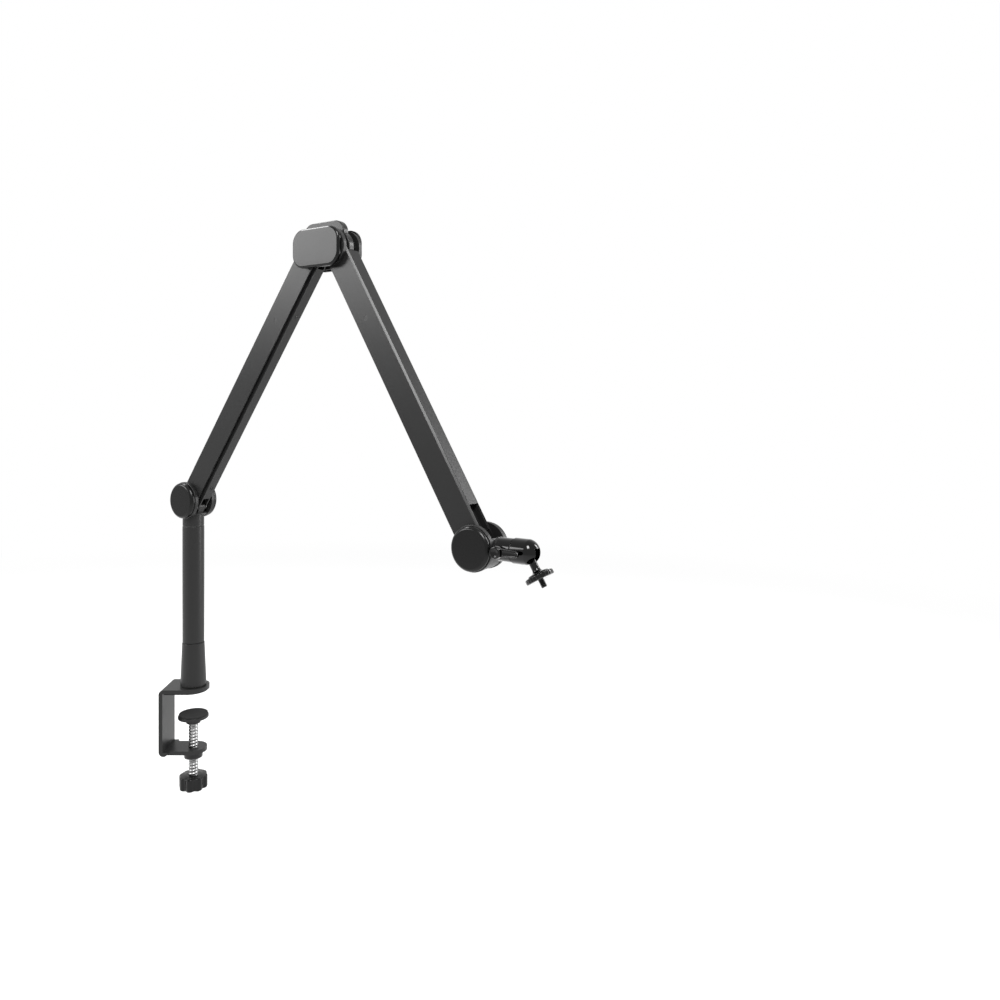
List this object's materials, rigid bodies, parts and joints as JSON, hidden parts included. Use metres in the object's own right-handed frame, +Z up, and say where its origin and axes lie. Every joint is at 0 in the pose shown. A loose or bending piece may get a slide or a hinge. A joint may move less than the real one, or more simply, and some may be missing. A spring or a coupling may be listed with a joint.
{
  "type": "microphone boom arm",
  "caption": "Desk-clamped microphone boom arm: riser tube, flat channelled parallelogram arms with hidden springs, and a small ball head with threaded stud.",
  "frame": {"origin": "desk surface on the riser's axis: the underside of the clamp's top rubber pad", "axes": "+Z up along the riser; the clamp closes on the desk's edge at -X; the arms' plane is turned 33.6 degrees clockwise from +X, seen from above"},
  "size_m": [0.4774, 0.3264, 0.7027],
  "materials": {
    "powder_coated_steel": "fine satin powder coat",
    "anodised_aluminium": "satin black anodised",
    "cover_plastic": "fine matte grain",
    "knob_plastic": "matte",
    "rubber": "matte",
    "nylon": "smooth",
    "bright_steel": "zinc plated",
    "black_chrome": "gloss black chrome"
  },
  "bodies": {
    "clamp_and_riser": {"clamp_frame": "powder_coated_steel", "clamp_top_pad": "rubber", "riser_socket": "powder_coated_steel", "socket_screws": "bright_steel", "socket_set_screw": "bright_steel", "riser_tube": "powder_coated_steel", "riser_plug": "bright_steel", "swivel_bush": "nylon"},
    "pressure_plate": {"pressure_plate": "powder_coated_steel", "pressure_pad": "rubber"},
    "clamp_screw": {"clamp_screw": "bright_steel", "clamp_knob": "knob_plastic"},
    "base_head": {"base_head": "powder_coated_steel", "swivel_retainer": "bright_steel", "shoulder_pin": "bright_steel", "shoulder_link_pin": "bright_steel", "base_front_cover": "cover_plastic", "base_rear_cover": "cover_plastic"},
    "lower_arm": {"lower_arm_shell": "anodised_aluminium", "lower_arm_bushes": "nylon", "lower_channel_cover": "anodised_aluminium", "lower_spring": "bright_steel", "lower_spring_pin": "bright_steel"},
    "lower_link": {"lower_link_bar": "powder_coated_steel", "lower_link_screws": "bright_steel", "lower_spring_lug": "bright_steel", "lower_link_glide": "nylon"},
    "elbow": {"elbow_core": "anodised_aluminium", "elbow_front_plate": "powder_coated_steel", "elbow_rear_plate": "powder_coated_steel", "elbow_pins": "bright_steel", "elbow_link_pins": "bright_steel", "elbow_front_cover": "cover_plastic", "elbow_rear_cover": "cover_plastic"},
    "upper_arm": {"upper_arm_shell": "anodised_aluminium", "upper_arm_bushes": "nylon", "upper_channel_cover": "anodised_aluminium", "upper_spring": "bright_steel", "upper_spring_pin": "bright_steel"},
    "upper_link": {"upper_link_bar": "powder_coated_steel", "upper_link_screws": "bright_steel", "upper_spring_lug": "bright_steel", "upper_link_glide": "nylon"},
    "wrist": {"wrist_housing": "powder_coated_steel", "wrist_pin": "bright_steel", "wrist_link_pin": "bright_steel", "wrist_front_cover": "cover_plastic", "wrist_rear_cover": "cover_plastic", "ball_head_body": "black_chrome", "ball_head_bolt": "bright_steel", "ball_seat": "nylon"},
    "ball_head_cap": {"ball_head_cap": "black_chrome"},
    "ball_stud": {"ball_stud": "black_chrome"},
    "lock_ring": {"lock_ring": "black_chrome"},
    "ball_lock_knob": {"ball_lock_knob": "black_chrome", "ball_lock_stem": "bright_steel"}
  },
  "joints": [
    {"name": "base_swivel", "type": "hinge", "parent": "clamp_and_riser", "child": "base_head", "pos_m": [0, 0, 0.246], "axis": [0, 0, 1], "continuous": true},
    {"name": "shoulder", "type": "hinge", "parent": "base_head", "child": "lower_arm", "pos_m": [0, 0, 0.246], "axis": [-0.5534, -0.8329, 0], "range_deg": [-39.1, 35.9], "deforming": ["lower_spring"]},
    {"name": "lower_link", "type": "hinge", "parent": "base_head", "child": "lower_link", "pos_m": [0.01208, -0.00802, 0.238], "axis": [-0.5534, -0.8329, 0], "range_deg": [-39.1, 35.9]},
    {"name": "elbow_level", "type": "hinge", "parent": "lower_arm", "child": "elbow", "pos_m": [0.18071, -0.12006, 0.54572], "axis": [-0.5534, -0.8329, 0], "range_deg": [-35.9, 39.1]},
    {"name": "upper_swing", "type": "hinge", "parent": "elbow", "child": "upper_arm", "pos_m": [0.21153, -0.14054, 0.54572], "axis": [-0.5534, -0.8329, 0], "range_deg": [-25.8, 69.2], "deforming": ["upper_spring"]},
    {"name": "upper_link", "type": "hinge", "parent": "elbow", "child": "upper_link", "pos_m": [0.2032, -0.135, 0.53272], "axis": [-0.5534, -0.8329, 0], "range_deg": [-25.8, 69.2]},
    {"name": "wrist_level", "type": "hinge", "parent": "upper_arm", "child": "wrist", "pos_m": [0.36933, -0.24538, 0.2279], "axis": [-0.5534, -0.8329, 0], "range_deg": [-69.2, 25.8]},
    {"name": "head_pan", "type": "hinge", "parent": "wrist", "child": "ball_head_cap", "pos_m": [0.41514, -0.27582, 0.2279], "axis": [0.8329, -0.5534, 0], "range_deg": [-55, 235]},
    {"name": "stud_tilt", "type": "hinge", "parent": "ball_head_cap", "child": "ball_stud", "pos_m": [0.41514, -0.27582, 0.2279], "axis": [-0.5534, -0.8329, 0], "range_deg": [-31, 59]},
    {"name": "lock_ring_turn", "type": "hinge", "parent": "ball_stud", "child": "lock_ring", "pos_m": [0.42629, -0.28323, 0.20561], "axis": [0.429, -0.285, -0.8572], "continuous": true},
    {"name": "ball_knob_turn", "type": "hinge", "parent": "wrist", "child": "ball_lock_knob", "pos_m": [0.38685, -0.27503, 0.2279], "axis": [-0.5534, -0.8329, 0], "range_deg": [-90, 90]},
    {"name": "pressure_plate_slide", "type": "slide", "parent": "clamp_and_riser", "child": "pressure_plate", "axis": [0, 0, 1], "range_m": [-0.03, 0.02]},
    {"name": "clamp_turn", "type": "hinge", "parent": "pressure_plate", "child": "clamp_screw", "pos_m": [0, 0, -0.08], "axis": [0, 0, 1], "range_deg": [-2700.1, 1800.1]}
  ],
  "couplings": [
    {"joint": "lower_link", "follows": "shoulder", "ratio": 1},
    {"joint": "elbow_level", "follows": "shoulder", "ratio": -1},
    {"joint": "upper_link", "follows": "upper_swing", "ratio": 1},
    {"joint": "wrist_level", "follows": "upper_swing", "ratio": -1},
    {"joint": "clamp_turn", "follows": "pressure_plate_slide", "rad_per_m": 1570.8}
  ]
}
